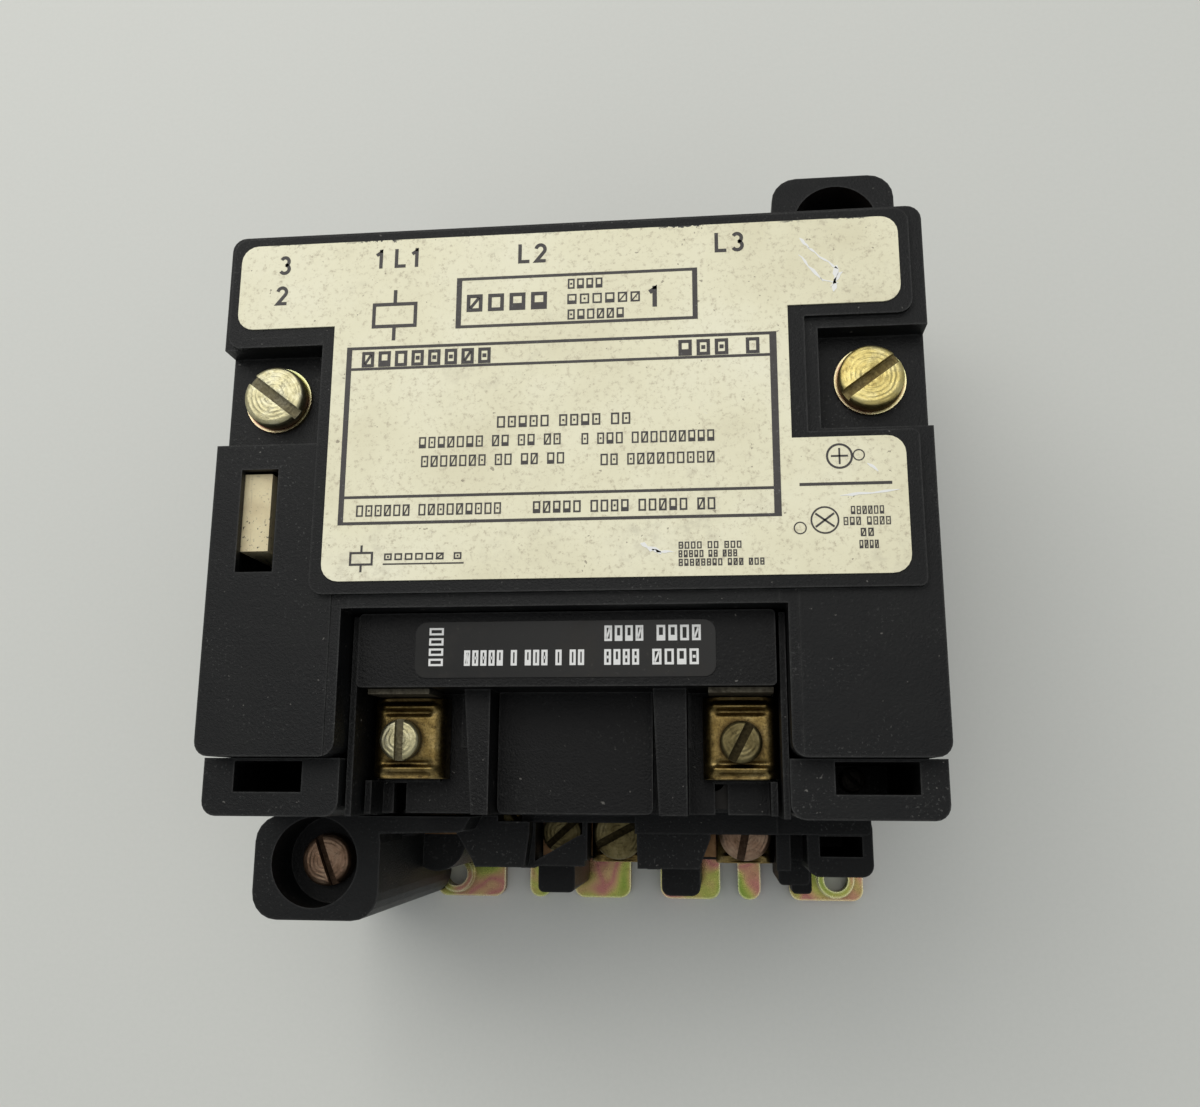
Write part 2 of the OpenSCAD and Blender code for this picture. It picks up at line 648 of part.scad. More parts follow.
module load_clamps() color("goldenrod") for (pole = poles)
    translate([pole + wire_dx, -46.3, clamp_z]) saddle_clamp(9.2, 9, 1, 1.8, 4.1);

module load_screws() color("khaki") for (pole = poles)
    translate([pole + wire_dx, -46.3, clamp_z + 2.2]) slotted_screw(4.1, 2.5, 1.2, 1.1, 30 + pole, 1.7, 12);

module strap_screws() color("darkkhaki") for (pole = [0, pole_pitch])
    translate([pole + strap_screw_dx, -46.3, clamp_z]) slotted_screw(3.4, 2.4, 1.1, 1.1, 70, 1.7, 9.5);

// Holding-circuit straps: the left one ends low and far out, the right one high and near the cover
module aux_contacts() color("#c08040") {
    difference() {
        union() {
            block([aux_x - 4.8, aux_x - 1.2], [foot_y, 48], [floor_z + 0.1, floor_z + 1.3]);
            block([aux_x - 4.8, aux_x - 1.2], [foot_y, foot_y + 1.2], [floor_z + 0.1, contact_z + 2]);
            block([aux_x - 4.8, aux_x - 1.2], [46.8, 48], [floor_z + 0.1, 21.3]);
            block([aux_x - 4.8, aux_x + 4], [46.8, 51.6], [20.1, 21.3]);
        }
        post(aux_x, 49, [18, 24], 1.3);
    }
    difference() {
        union() {
            block([aux_x + 1.2, aux_x + 4.2], [foot_y, 35.4], [floor_z + 0.1, floor_z + 1.3]);
            block([aux_x + 1.2, aux_x + 4.2], [foot_y, foot_y + 1.2], [floor_z + 0.1, contact_z + 2]);
            block([aux_x + 1.2, aux_x + 4.2], [34.2, 35.4], [floor_z + 0.1, strap_z + 1.2]);
            block([aux_x - 5.2, aux_x + 4], [34.2, 45.6], [strap_z, strap_z + 1.2]);
        }
        post(aux_x, 43, [30, 36], 1.3);
    }
}

aux_terminals = [[43, 33.2], [49, 21.3]];

module aux_clamps() color("goldenrod") for (at = aux_terminals)
    translate([aux_x, at[0], at[1]]) saddle_clamp(8, 5, 0.8, 1.4, 2.5, 0.4);

module aux_screws() color("khaki") for (at = aux_terminals)
    translate([aux_x, at[0], at[1] + 2]) slotted_screw(2.5, 1.8, 0.8, 0.8, 25, 1.25, 9);

mounting_plate();
base_housing();
mounting_screws();
contact_housing();
housing_screws();
front_cover();
nameplate();
cover_screws();
cover_washers();
coil();
coil_label();
coil_strips();
coil_clamps();
coil_screws();
magnet_core();
shading_rings();
magnet_pads();
contact_carrier();
armature();
armature_pin();
return_springs();
contact_bridges();
bridge_tips();
spring_caps();
contact_springs();
aux_bridge();
aux_spring();
line_contacts();
load_contacts();
fixed_tips();
line_clamps();
line_screws();
load_clamps();
load_screws();
strap_screws();
aux_contacts();
aux_clamps();
aux_screws();
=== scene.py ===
import json
import math
import random
import bmesh
import bpy
from mathutils import Matrix, Vector

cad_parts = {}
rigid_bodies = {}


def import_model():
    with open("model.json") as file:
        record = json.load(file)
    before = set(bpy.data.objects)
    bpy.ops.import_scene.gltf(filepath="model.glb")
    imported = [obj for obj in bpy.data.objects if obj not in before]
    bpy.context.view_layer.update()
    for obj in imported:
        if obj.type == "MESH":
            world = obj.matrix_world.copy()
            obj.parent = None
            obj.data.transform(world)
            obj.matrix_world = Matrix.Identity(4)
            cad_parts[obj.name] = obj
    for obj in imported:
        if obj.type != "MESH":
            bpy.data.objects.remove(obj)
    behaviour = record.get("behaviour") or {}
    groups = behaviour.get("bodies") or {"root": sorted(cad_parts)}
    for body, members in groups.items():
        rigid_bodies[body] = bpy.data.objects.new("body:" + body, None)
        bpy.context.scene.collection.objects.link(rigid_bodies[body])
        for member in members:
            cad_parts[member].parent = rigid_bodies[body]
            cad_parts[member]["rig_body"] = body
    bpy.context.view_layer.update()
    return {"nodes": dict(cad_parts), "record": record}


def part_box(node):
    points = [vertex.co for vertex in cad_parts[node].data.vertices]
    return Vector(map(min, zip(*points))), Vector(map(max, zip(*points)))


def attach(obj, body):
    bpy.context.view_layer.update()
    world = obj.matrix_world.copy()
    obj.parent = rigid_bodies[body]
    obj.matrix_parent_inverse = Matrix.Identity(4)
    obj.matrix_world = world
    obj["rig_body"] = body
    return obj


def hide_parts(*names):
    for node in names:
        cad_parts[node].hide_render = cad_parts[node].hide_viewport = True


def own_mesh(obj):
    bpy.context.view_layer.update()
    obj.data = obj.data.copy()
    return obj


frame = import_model()
MM = 0.001
NODES = frame["nodes"]
BODY_OF = {n: o["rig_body"] for n, o in NODES.items()}
SLOT_OF = {s["node"]: s["material_slot"] for s in frame["record"]["subparts"]}
STAGE = bpy.context.scene.collection


# ---------------------------------------------------------------- places taken from the frame

def solids_of(node):
    """Boxes of a CAD node's separate solids in mm, sorted left to right, then bottom to top."""
    mesh = NODES[node].data
    keys = [tuple(round(c * 1e6) for c in v.co) for v in mesh.vertices]
    root = {k: k for k in keys}

    def find(k):
        while root[k] != k:
            root[k] = root[root[k]]
            k = root[k]
        return k

    for face in mesh.polygons:
        first = find(keys[face.vertices[0]])
        for v in face.vertices[1:]:
            root[find(keys[v])] = first
    groups = {}
    for k in root:
        groups.setdefault(find(k), []).append(k)
    boxes = []
    for points in groups.values():
        lo = Vector([min(p[i] for p in points) / 1e3 for i in range(3)])
        hi = Vector([max(p[i] for p in points) / 1e3 for i in range(3)])
        boxes.append((lo, hi))
    return sorted(boxes, key=lambda b: (round(b[0].x), round(b[0].y)))


def top_corner(node):
    """Upper right front corner of a CAD node's box, in mm."""
    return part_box(node)[1] / MM


# ---------------------------------------------------------------- materials

class Look:
    """A material under construction; sizes are in mm and measured on the object."""

    def __init__(self, name):
        self.mat = bpy.data.materials.new(name)
        self.mat.use_nodes = True
        self.tree = self.mat.node_tree
        self.shader = self.tree.nodes["Principled BSDF"]
        self.at = self.tree.nodes.new("ShaderNodeTexCoord").outputs["Object"]

    def add(self, kind, inputs=(), out=0, **props):
        node = self.tree.nodes.new(kind)
        for key, value in props.items():
            setattr(node, key, value)
        for key, value in dict(inputs).items():
            self.put(value, node.inputs[key])
        return node.outputs[out]

    def put(self, value, socket):
        if isinstance(value, bpy.types.NodeSocket):
            self.tree.links.new(value, socket)
        elif isinstance(value, (tuple, list)) and socket.type == "RGBA":
            socket.default_value = (*value[:3], 1)
        else:
            socket.default_value = value

    def set(self, **values):
        for key, value in values.items():
            self.put(value, self.shader.inputs[key.replace("_", " ")])

    def place(self, scale, turn=(0, 0, 0)):
        return self.add("ShaderNodeMapping", {"Vector": self.at, "Scale": scale, "Rotation": turn})

    def noise(self, size, detail=3, rough=0.55, warp=0, at=None):
        return self.add("ShaderNodeTexNoise", {"Vector": at or self.at, "Scale": 1 / (size * MM),
                                               "Detail": detail, "Roughness": rough, "Distortion": warp})

    def part(self, axis):
        return self.add("ShaderNodeSeparateXYZ", {0: self.at}, out="XYZ".index(axis))

    def math(self, op, a, b=0.0, clamp=False):
        return self.add("ShaderNodeMath", {0: a, 1: b}, operation=op, use_clamp=clamp)

    def ease(self, value, lo, hi):
        """0 below lo, 1 above hi, smooth between."""
        return self.add("ShaderNodeMapRange", {0: value, 1: lo, 2: hi, 3: 0.0, 4: 1.0},
                        interpolation_type="SMOOTHSTEP")

    def span(self, value, lo, hi):
        return self.add("ShaderNodeMapRange", {0: value, 1: 0.0, 2: 1.0, 3: lo, 4: hi})

    def mix(self, share, a, b):
        return self.add("ShaderNodeMix", {0: share, 6: a, 7: b}, out=2, data_type="RGBA")

    def ramp(self, value, *stops):
        node = self.tree.nodes.new("ShaderNodeValToRGB")
        self.put(value, node.inputs[0])
        while len(node.color_ramp.elements) < len(stops):
            node.color_ramp.elements.new(0.5)
        for element, (pos, color) in zip(node.color_ramp.elements, stops):
            element.position = pos
            element.color = (*color, 1)
        return node.outputs[0]

    def bump(self, height, depth, strength=1.0, normal=None):
        inputs = {"Height": height, "Distance": depth * MM, "Strength": strength}
        if normal is not None:
            inputs["Normal"] = normal
        return self.add("ShaderNodeBump", inputs)

    def edge_mask(self, radius, lo=0.02, hi=0.3):
        """1 along convex and concave edges, 0 on flats."""
        soft = self.add("ShaderNodeBevel", {0: radius * MM}, samples=4)
        true = self.add("ShaderNodeNewGeometry", out=1)
        dot = self.add("ShaderNodeVectorMath", {0: soft, 1: true}, out=1, operation="DOT_PRODUCT")
        return self.ease(self.math("SUBTRACT", 1.0, dot), lo, hi)


def moulding(name, dark, light, rough, grain, dust, shine=0.2):
    """Phenolic or moulded plastic: fine grain, dusty patches, tiny light specks as painted glints, edges
    lightened as a painted highlight.
    """
    look = Look(name)
    blotch = look.noise(9, 4, 0.6)
    wide = look.noise(38, 2, 0.5, at=look.place((1, 1, 0.5)))
    color = look.mix(look.ease(blotch, 0.35, 0.75), dark, light)
    patches = look.ease(look.noise(11, 4, 0.65), 0.4, 0.64)
    specks = look.ease(look.noise(0.4, 3, 0.65), 0.58, 0.7)
    dusty = look.math("MULTIPLY", look.math("MULTIPLY", specks, patches), dust)
    color = look.mix(dusty, color, (0.10, 0.10, 0.095))
    # tiny light specks: painted glints for the sparkle of the grained surface
    glint_specks = look.ease(look.noise(0.8, 2, 0.5), 0.73, 0.77)
    color = look.mix(look.math("MULTIPLY", glint_specks, 0.5), color, (0.22, 0.21, 0.19))
    # edges lightened in patches: a painted highlight along the rounded edges
    edge = look.edge_mask(0.55, 0.03, 0.22)
    edge_highlight = look.math("MULTIPLY", edge, look.span(look.noise(2.2, 4, 0.75), -0.35, 1.3))
    color = look.mix(look.math("MULTIPLY", edge_highlight, 0.75, True), color, (0.085, 0.085, 0.082))
    gloss = look.math("ADD", look.span(blotch, rough - 0.1, rough + 0.12), look.span(wide, -0.08, 0.08))
    streaks = look.noise(1, 3, 0.6, at=look.place((0.08, 1.4, 1), (0, 0, 0.6)))
    gloss = look.math("SUBTRACT", gloss, look.math("MULTIPLY", look.ease(streaks, 0.62, 0.72), 0.12))
    normal = look.bump(look.noise(grain, 3, 0.7), 0.11, 1.0)
    normal = look.bump(look.noise(5, 2, 0.4), 0.04, 0.5, normal)
    look.set(Base_Color=color, Roughness=gloss, Normal=normal, Specular_IOR_Level=shine)
    return look.mat


def metal(name, stops, rough, blotch_size, grime_and_shade, dirt_and_shade_color, grain=0.4, depth=0.012,
          edge=0.25, edge_highlight_color=None, detail=4, speck=0.0, crevice_shade=0.0, rim=0.3):
    """Plated or bare sheet metal: blotches of tone, dirt in patches, painted shade in crevices, edges
    lightened as a painted highlight.
    """
    look = Look(name)
    place = look.add("ShaderNodeNewGeometry")
    tone = look.noise(blotch_size, detail, 0.6, 0.6, at=place)
    color = look.ramp(tone, *stops)
    dirt = look.ease(look.noise(1.3, 4, 0.7, at=place), 0.5, 0.72)
    corner = look.edge_mask(rim)
    color = look.mix(look.math("MULTIPLY", dirt, grime_and_shade), color, dirt_and_shade_color)
    if speck:
        grit = look.ease(look.noise(0.28, 3, 0.7, at=place), 0.45, 0.62)
        color = look.mix(look.math("MULTIPLY", grit, speck), color, dirt_and_shade_color)
    # darkened where ambient occlusion finds shut-in spots: painted shade in the crevices, which also stands
    # for dirt gathered there
    if crevice_shade:
        open_sky = look.add("ShaderNodeAmbientOcclusion", {"Distance": 1.2 * MM}, out=1, samples=6)
        occlusion_shade = look.ease(look.math("SUBTRACT", 1.0, open_sky), 0.08, 0.42)
        color = look.mix(look.math("MULTIPLY", occlusion_shade, crevice_shade), color, dirt_and_shade_color)
    # edges lightened towards a bright colour: a painted highlight along the rims
    color = look.mix(look.math("MULTIPLY", corner, edge), color, edge_highlight_color or stops[-1][1])
    lines = look.noise(grain, 4, 0.6)
    gloss = look.math("ADD", look.span(look.noise(2.2, 4, 0.6), rough - 0.1, rough + 0.14),
                      look.math("MULTIPLY", dirt, grime_and_shade * 0.25))
    look.set(Base_Color=color, Roughness=gloss, Metallic=1.0, Normal=look.bump(lines, depth, 0.8))
    return look.mat


def turned_metal(name, stops, rough, dirt_and_shade_color, ring=0.62, ring_depth=0.03):
    """Screw heads: turning rings about the object's own axis, painted shade mixed with dirt down in the slot.
    """
    look = Look(name)
    place = look.add("ShaderNodeNewGeometry")
    blotch = look.noise(3.2, 4, 0.7, 0.4, at=place)
    color = look.ramp(blotch, *stops)
    flat = look.add("ShaderNodeVectorMath", {0: look.at, 1: (1.0, 1.0, 0.0)}, operation="MULTIPLY")
    radius = look.add("ShaderNodeVectorMath", {0: flat}, out=1, operation="LENGTH")
    wobble = look.math("MULTIPLY", look.noise(2.5, 2, 0.5), 0.5 * MM)
    phase = look.math("MULTIPLY", look.math("ADD", radius, wobble), 2 * math.pi / (ring * MM))
    rings = look.math("SINE", phase)
    fade = look.ease(look.noise(2.4, 3, 0.6), 0.35, 0.6)
    rings = look.math("MULTIPLY", rings, fade)
    # darker from 0.55 mm below the top down into the slot: painted shade, mottled to stand for dirt too
    low = look.ease(look.math("MULTIPLY", look.part("Z"), -1.0), 0.55 * MM, 1.0 * MM)
    slot = look.math("MULTIPLY", low, look.span(look.noise(0.5, 4, 0.75, at=place), 0.45, 1.25))
    dirt = look.ease(look.noise(0.7, 5, 0.75, at=place), 0.5, 0.68)
    grime_and_shade = look.math("MAXIMUM", slot, look.math("MULTIPLY", dirt, 0.45), True)
    color = look.mix(look.math("MULTIPLY", grime_and_shade, 0.88), color, dirt_and_shade_color)
    color = look.mix(look.span(rings, 0.1, -0.1), color, dirt_and_shade_color)
    color = look.mix(look.math("MULTIPLY", look.edge_mask(0.2), 0.45), color, stops[-1][1])
    gloss = look.math("ADD", look.span(look.noise(0.9, 5, 0.7, at=place), rough - 0.12, rough + 0.2),
                      look.math("MULTIPLY", grime_and_shade, 0.28))
    normal = look.bump(rings, ring_depth, 0.7)
    normal = look.bump(look.noise(0.4, 4, 0.7), 0.035, 0.8, normal)
    look.set(Base_Color=color, Roughness=gloss, Metallic=0.95, Normal=normal)
    return look.mat


def make_ivory():
    """Aged ivory plastic, pitted towards its lower end."""
    look = Look("ivory_moulding")
    tone = look.noise(5, 4, 0.6)
    color = look.ramp(tone, (0.3, (0.62, 0.51, 0.30)), (0.55, (0.76, 0.66, 0.41)), (0.8, (0.82, 0.75, 0.50)))
    pits = look.ease(look.noise(0.42, 3, 0.6), 0.62, 0.68)
    low = look.ease(look.math("MULTIPLY", look.part("Y"), -1.0), -1.5 * MM, 5 * MM)
    share = look.math("MULTIPLY", pits, look.span(low, 0.25, 1.0))
    color = look.mix(share, color, (0.03, 0.025, 0.02))
    scuff = look.noise(0.8, 3, 0.6, at=look.place((2.4, 0.14, 1), (0, 0, 0.7)))
    color = look.mix(look.math("MULTIPLY", look.ease(scuff, 0.6, 0.7), 0.3), color, (0.3, 0.24, 0.17))
    look.set(Base_Color=color, Roughness=look.span(tone, 0.45, 0.7),
             Normal=look.bump(look.noise(0.5, 4, 0.6), 0.02, 0.7),
             Subsurface_Weight=0.08, Subsurface_Radius=(0.8 * MM, 0.6 * MM, 0.4 * MM))
    return look.mat


def make_label(top_y):
    """Cream film with fine specks, worn through to black along its top edge."""
    look = Look("label_print")
    wide = look.noise(26, 4, 0.55)
    color = look.ramp(wide, (0.3, (0.76, 0.71, 0.49)), (0.5, (0.87, 0.83, 0.60)), (0.75, (0.93, 0.90, 0.70)))
    grit = look.noise(0.75, 5, 0.75)
    color = look.mix(look.ease(grit, 0.49, 0.77), color, (0.50, 0.44, 0.31))
    soil = look.math("MULTIPLY", look.ease(look.noise(14, 4, 0.6), 0.5, 0.72),
                     look.ease(look.noise(1.6, 4, 0.7), 0.4, 0.7))
    color = look.mix(look.math("MULTIPLY", soil, 0.4), color, (0.42, 0.38, 0.29))
    fleck = look.ease(look.noise(0.9, 2, 0.5), 0.73, 0.76)
    color = look.mix(look.math("MULTIPLY", fleck, 0.7), color, (0.22, 0.18, 0.13))
    fibre = look.noise(0.35, 3, 0.6)
    edge = look.math("SUBTRACT", top_y * MM, look.part("Y"))
    chips = look.math("SUBTRACT", look.noise(1.1, 4, 0.75, at=look.place((0.7, 1, 1))),
                      look.math("MULTIPLY", edge, 0.35 / (1.0 * MM)))
    along = look.ease(look.noise(11, 2, 0.5, at=look.place((1, 0.0, 0.0))), 0.45, 0.6)
    chips = look.math("MULTIPLY", look.ease(chips, 0.46, 0.5), along)
    color = look.mix(chips, color, (0.02, 0.02, 0.02))
    smear = look.ease(look.noise(3.2, 4, 0.7, 1.2, at=look.place((0.5, 1.3, 1), (0, 0, 0.5))), 0.7, 0.78)
    color = look.mix(look.math("MULTIPLY", smear, 0.35), color, (0.9, 0.9, 0.86))
    look.set(Base_Color=color, Roughness=look.span(fibre, 0.42, 0.62),
             Normal=look.bump(look.noise(0.3, 3, 0.6), 0.006, 0.6))
    return look.mat


def make_laminated(sheet=0.7):
    """Oiled steel sheets stacked along Z, in near-black tones that are painted shade for the core seen down
    the coil's slots.
    """
    look = Look("laminated_steel")
    leaf = look.math("SINE", look.math("MULTIPLY", look.part("Z"), 2 * math.pi / (sheet * MM)))
    tone = look.noise(3, 4, 0.6)
    # near-black tones: painted shade where the core shows at the bottom of the coil's slots
    color = look.ramp(tone, (0.3, (0.014, 0.013, 0.012)), (0.6, (0.03, 0.028, 0.025)),
                      (0.85, (0.06, 0.045, 0.03)))
    color = look.mix(look.span(leaf, 0.0, 0.25), color, (0.02, 0.02, 0.02))
    look.set(Base_Color=color, Metallic=0.9, Roughness=look.span(tone, 0.45, 0.65),
             Normal=look.bump(leaf, 0.05, 0.8))
    return look.mat


def make_ink(name, color, fade=0.35):
    """Printed ink, thin in small gaps."""
    look = Look(name)
    gap = look.ease(look.noise(0.35, 3, 0.6), 0.6, 0.72)
    tone = look.mix(look.math("MULTIPLY", gap, fade), color, tuple(c * 0.5 + 0.25 for c in color))
    look.set(Base_Color=tone, Roughness=look.span(look.noise(0.8), 0.4, 0.6),
             Normal=look.bump(look.noise(0.2), 0.004, 0.5))
    return look.mat


def make_coil_film():
    """Black film with a light haze and small scuffs."""
    look = Look("label_black")
    haze = look.ease(look.noise(7, 4, 0.65), 0.45, 0.8)
    color = look.mix(haze, (0.006, 0.006, 0.0055), (0.022, 0.019, 0.015))
    scuff = look.ease(look.noise(0.5, 3, 0.6), 0.66, 0.74)
    color = look.mix(look.math("MULTIPLY", scuff, 0.3), color, (0.07, 0.065, 0.055))
    look.set(Base_Color=color, Roughness=look.span(haze, 0.3, 0.5), Specular_IOR_Level=0.25,
             Normal=look.bump(look.noise(1.5, 3, 0.6), 0.012, 0.6))
    return look.mat


label_top = top_corner("nameplate")
PALE_SCREW = turned_metal("screw_zinc", [(0.3, (0.40, 0.36, 0.20)), (0.5, (0.52, 0.48, 0.29)),
                                         (0.75, (0.66, 0.64, 0.48))], 0.36, (0.07, 0.055, 0.035))
GOLD_SCREW = turned_metal("screw_gold", [(0.3, (0.42, 0.32, 0.10)), (0.5, (0.62, 0.52, 0.20)),
                                         (0.75, (0.74, 0.66, 0.34))], 0.36, (0.09, 0.06, 0.03))
# dull olive screws, dirty and darkened as painted shade for the screws that sit in shadow
DIRTY_SHADED_SCREW = turned_metal("screw_dirty_shaded", [(0.3, (0.09, 0.07, 0.028)), (0.5, (0.17, 0.14, 0.062)),
                                         (0.75, (0.27, 0.23, 0.12))], 0.46, (0.025, 0.018, 0.01))
ROSY_SCREW = turned_metal("screw_rosy", [(0.3, (0.17, 0.10, 0.06)), (0.5, (0.28, 0.18, 0.12)),
                                         (0.75, (0.40, 0.29, 0.2))], 0.42, (0.035, 0.02, 0.012))
DARK_SCREW = turned_metal("screw_dark", [(0.3, (0.03, 0.028, 0.025)), (0.5, (0.05, 0.045, 0.04)),
                                         (0.75, (0.08, 0.07, 0.06))], 0.55, (0.01, 0.01, 0.01))
MATERIALS = {
    "black_moulding": moulding("black_moulding", (0.0030, 0.0033, 0.0036), (0.0062, 0.0065, 0.0064),
                               0.44, 0.32, 0.55, 0.22),
    "coil_moulding": moulding("coil_moulding", (0.0022, 0.0022, 0.0024), (0.0045, 0.0045, 0.0045),
                              0.38, 0.35, 0.3, 0.18),
    "ivory_moulding": make_ivory(),
    "label_print": make_label(label_top.y),
    "label_black": make_coil_film(),
    "laminated_steel": make_laminated(),
    # edge, edge colour and rim paint a bright highlight along the plate's rims; the crevice amount paints
    # shade in its hollows
    "zinc_yellow": metal("zinc_yellow", [(0.3, (0.20, 0.30, 0.05)), (0.42, (0.38, 0.38, 0.10)),
                                         (0.52, (0.46, 0.28, 0.15)), (0.6, (0.42, 0.17, 0.15)),
                                         (0.75, (0.50, 0.40, 0.16))], 0.24, 8, 0.2, (0.10, 0.05, 0.02),
                         edge=0.9, edge_highlight_color=(0.88, 0.86, 0.52), detail=1.2, crevice_shade=0.6, rim=0.8),
    # edge and edge colour paint a highlight along the curls; the crevice amount paints shade in the hollows,
    # standing for dirt there too
    "brass_clamp": metal("brass_clamp", [(0.3, (0.15, 0.10, 0.03)), (0.55, (0.25, 0.18, 0.065)),
                                         (0.8, (0.40, 0.31, 0.14))], 0.33, 2.4, 0.7, (0.035, 0.022, 0.009),
                         0.22, depth=0.03, edge=0.4, edge_highlight_color=(0.62, 0.52, 0.28), speck=0.45, crevice_shade=0.9),
    "dull_steel": metal("dull_steel", [(0.3, (0.06, 0.055, 0.042)), (0.8, (0.16, 0.145, 0.11))],
                        0.6, 1.2, 0.6, (0.03, 0.025, 0.018), speck=0.5),
    "bright_steel": metal("bright_steel", [(0.3, (0.50, 0.50, 0.50)), (0.8, (0.72, 0.72, 0.70))],
                          0.28, 4, 0.15, (0.2, 0.19, 0.17)),
    "copper_alloy": metal("copper_alloy", [(0.3, (0.10, 0.055, 0.028)), (0.55, (0.17, 0.10, 0.05)),
                                           (0.8, (0.26, 0.16, 0.08))], 0.36, 6, 0.45, (0.04, 0.028, 0.015)),
    "silver_tip": metal("silver_tip", [(0.3, (0.62, 0.61, 0.58)), (0.8, (0.82, 0.81, 0.78))],
                        0.38, 2, 0.3, (0.2, 0.18, 0.15)),
    "buffer_rubber": moulding("buffer_rubber", (0.02, 0.02, 0.02), (0.035, 0.034, 0.033), 0.7, 0.4, 0.3, 0.2),
    "screw_zinc": PALE_SCREW,
}
INK = make_ink("ink_dark", (0.035, 0.03, 0.028))
INK_WHITE = make_ink("ink_white", (0.8, 0.8, 0.78), 0.1)
CHALK = make_ink("bared_film", (0.88, 0.88, 0.85), 0.2)

# ---------------------------------------------------------------- mesh helpers

def add_piece(name, mesh, at, body, turn=0.0):
    """A mesh as a new piece at a point in mm, turned about Z, riding on a body."""
    piece = bpy.data.objects.new(name, mesh)
    STAGE.objects.link(piece)
    piece.matrix_world = Matrix.Translation(Vector(at) * MM) @ Matrix.Rotation(math.radians(turn), 4, "Z")
    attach(piece, body)
    return piece


def stand_in(node, first):
    """Hides the CAD node when its first piece is added."""
    if first:
        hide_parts(node)


def mesh_from(name, verts, faces, smooth=False):
    mesh = bpy.data.meshes.new(name)
    mesh.from_pydata([[c * MM for c in v] for v in verts], [], faces)
    work = bmesh.new()
    work.from_mesh(mesh)
    bmesh.ops.remove_doubles(work, verts=work.verts, dist=1e-7)
    bmesh.ops.recalc_face_normals(work, faces=work.faces)
    work.to_mesh(mesh)
    work.free()
    for face in mesh.polygons:
        face.use_smooth = smooth
    return mesh


def soften(thing, width, segments=2, angle=0.6):
    """Bevel on the edges sharper than an angle in radians."""
    bev = thing.modifiers.new("edges", "BEVEL")
    bev.width = width * MM
    bev.segments = segments
    bev.limit_method = "ANGLE"
    bev.angle_limit = angle


def lathe(profile, steps=56):
    """Verts and faces of a solid turned about Z; its (radius, height) points start and end on the axis."""
    verts, rings = [], []
    for r, z in profile:
        if r < 1e-6:
            rings.append([len(verts)])
            verts.append((0, 0, z))
        else:
            rings.append(list(range(len(verts), len(verts) + steps)))
            verts += [(r * math.cos(2 * math.pi * k / steps), r * math.sin(2 * math.pi * k / steps), z)
                      for k in range(steps)]
    faces = []
    for low, high in zip(rings, rings[1:]):
        for k in range(steps):
            n = (k + 1) % steps
            a, b = low[k % len(low)], low[n % len(low)]
            c, d = high[n % len(high)], high[k % len(high)]
            face = [v for i, v in enumerate((a, b, c, d)) if v not in (a, b, c, d)[:i]]
            if len(face) > 2:
                faces.append(face)
    return verts, faces


def baked(thing):
    """The object's mesh with its modifiers applied; the helper object is deleted."""
    bpy.context.view_layer.update()
    graph = bpy.context.evaluated_depsgraph_get()
    mesh = bpy.data.meshes.new_from_object(thing.evaluated_get(graph))
    bpy.data.objects.remove(thing)
    return mesh


def helper(mesh):
    thing = bpy.data.objects.new("helper", mesh)
    STAGE.objects.link(thing)
    return thing


def cut(mesh, cutter):
    """The mesh less the cutter's volume."""
    body, tool = helper(mesh), helper(cutter)
    mod = body.modifiers.new("cut", "BOOLEAN")
    mod.object = tool
    mod.solver = "EXACT"
    result = baked(body)
    bpy.data.objects.remove(tool)
    return result


def box_mesh(lo, hi):
    verts = [(x, y, z) for z in (lo[2], hi[2]) for y in (lo[1], hi[1]) for x in (lo[0], hi[0])]
    faces = [(0, 2, 3, 1), (4, 5, 7, 6), (0, 1, 5, 4), (2, 6, 7, 3), (0, 4, 6, 2), (1, 3, 7, 5)]
    return mesh_from("box", verts, faces)


# ---------------------------------------------------------------- screws

THREAD_PITCH = 0.8
THREAD_DEPTH = 0.22


def screw_mesh(head_r, head_h, slot_w, slot_depth, shank_r, shank_len):
    """Fillister head with a rounded shoulder; z = 0 is the middle of its flat top."""
    shoulder = head_h * 0.3
    dome = head_h * 0.05
    rim = 0.15
    upper_r = head_r - 0.06
    tip = -head_h - shank_len
    profile = [(0, tip), (shank_r * 0.8, tip), (shank_r, tip + 0.4)]
    z = tip + 0.5
    while z < -head_h - 1.2:
        profile += [(shank_r, z), (shank_r - THREAD_DEPTH, z + THREAD_PITCH / 2)]
        z += THREAD_PITCH
    profile += [(shank_r, -head_h - 0.6), (shank_r, -head_h), (head_r - rim, -head_h), (head_r, rim - head_h)]
    profile += [((head_r + upper_r) / 2, -head_h * 0.5), (upper_r, -shoulder - dome)]
    for i in range(1, 8):
        a = math.radians(90 * i / 8)
        profile.append((upper_r - shoulder * (1 - math.cos(a)), -shoulder - dome + shoulder * math.sin(a)))
    flat_r = upper_r - shoulder
    profile += [(flat_r, -dome), (flat_r * 0.96, -dome * 0.8), (flat_r * 0.6, -dome * 0.3),
                (flat_r * 0.25, -dome * 0.05), (0, 0)]
    verts, faces = lathe(profile)
    blank = mesh_from("screw", verts, faces, True)
    mesh = cut(blank, box_mesh((-slot_w / 2, -head_r - 1, -slot_depth), (slot_w / 2, head_r + 1, 1)))
    for face in mesh.polygons:
        face.use_smooth = True
    return mesh


